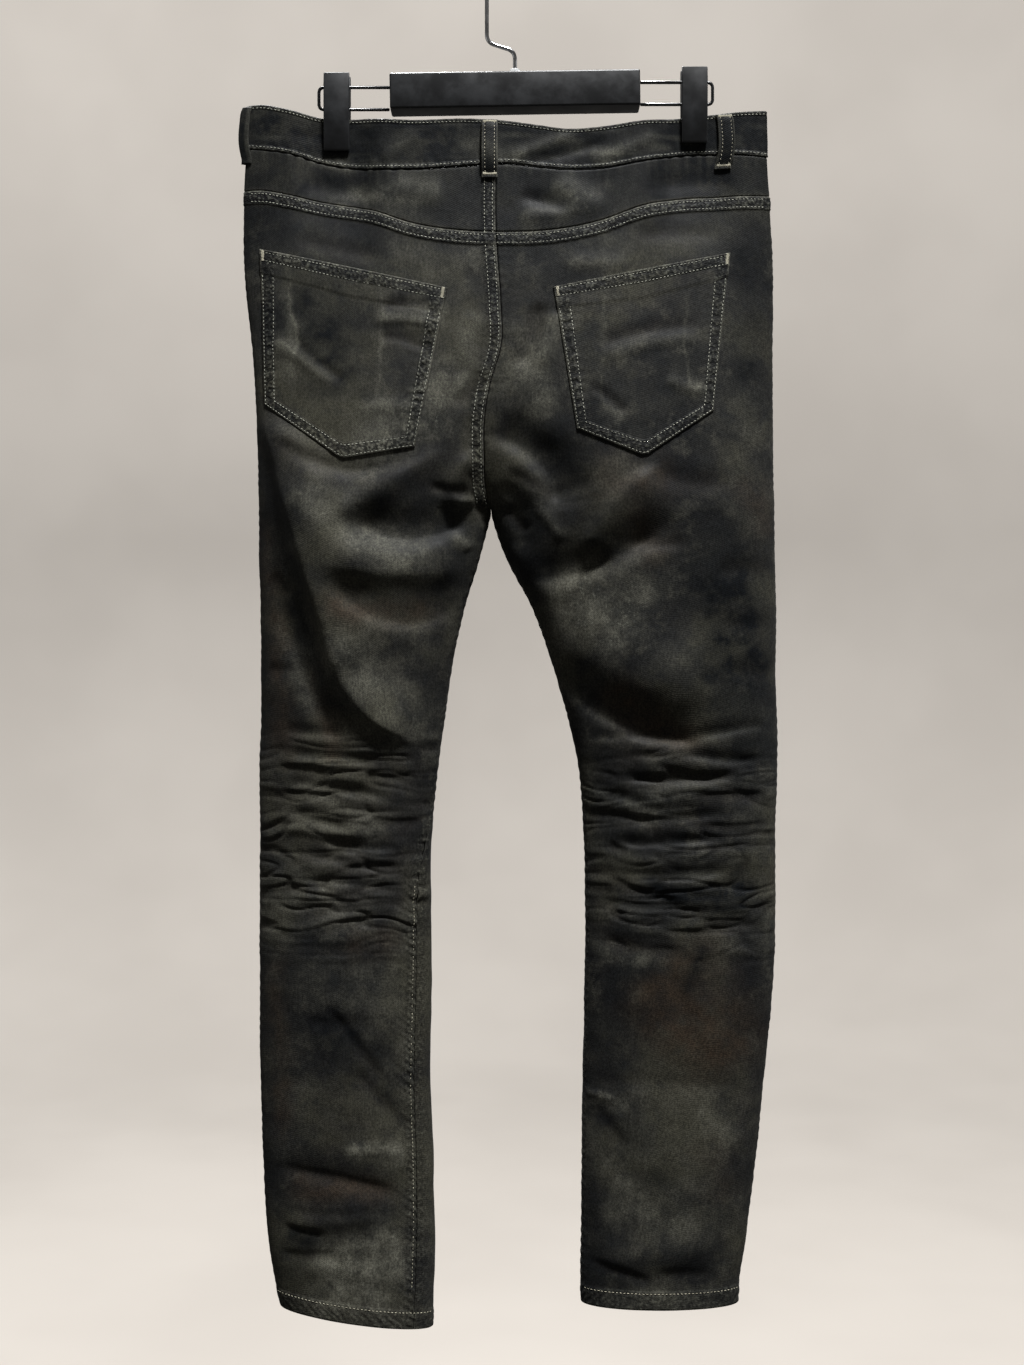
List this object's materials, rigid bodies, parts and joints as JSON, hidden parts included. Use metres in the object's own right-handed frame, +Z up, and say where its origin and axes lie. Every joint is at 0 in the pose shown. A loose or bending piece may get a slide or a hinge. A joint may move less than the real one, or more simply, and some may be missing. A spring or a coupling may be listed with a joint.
{
  "type": "slim coated jeans on a clip hanger",
  "caption": "Slim coated jeans hung by the waistband from a hanger with two sprung clips, legs hanging open at the hems.",
  "frame": {"origin": "hang point, the inner top of the hanger's hook, where the rod touches it", "axes": "+Z up, +X towards the wearer's right, the back of the jeans faces -Y and the front faces +Y"},
  "size_m": [0.4726, 0.0797, 1.2224],
  "materials": {
    "coated_denim": "waxed black-olive coating over twill, with worn edges",
    "gun_metal": "darkened satin metal",
    "black_plastic": "moulded, satin",
    "dark_wire": "black coated steel wire",
    "chrome_wire": "polished"
  },
  "bodies": {
    "root": {"back_leg_left": "coated_denim", "back_leg_right": "coated_denim", "front_leg_left": "coated_denim", "front_leg_right": "coated_denim", "yoke_left": "coated_denim", "yoke_right": "coated_denim", "waistband": "coated_denim", "back_pocket_left": "coated_denim", "back_pocket_right": "coated_denim", "pocket_facing_left": "coated_denim", "pocket_facing_right": "coated_denim", "fly_flap": "coated_denim", "belt_loop_back": "coated_denim", "belt_loop_left": "coated_denim", "belt_loop_right": "coated_denim", "belt_loop_front_left": "coated_denim", "belt_loop_front_right": "coated_denim", "waist_button": "gun_metal", "hanger_bar": "black_plastic", "clip_left": "black_plastic", "clip_right": "black_plastic", "hanger_wire_left": "dark_wire", "hanger_wire_right": "dark_wire", "hook": "chrome_wire", "hook_collar": "chrome_wire"}
  },
  "joints": []
}
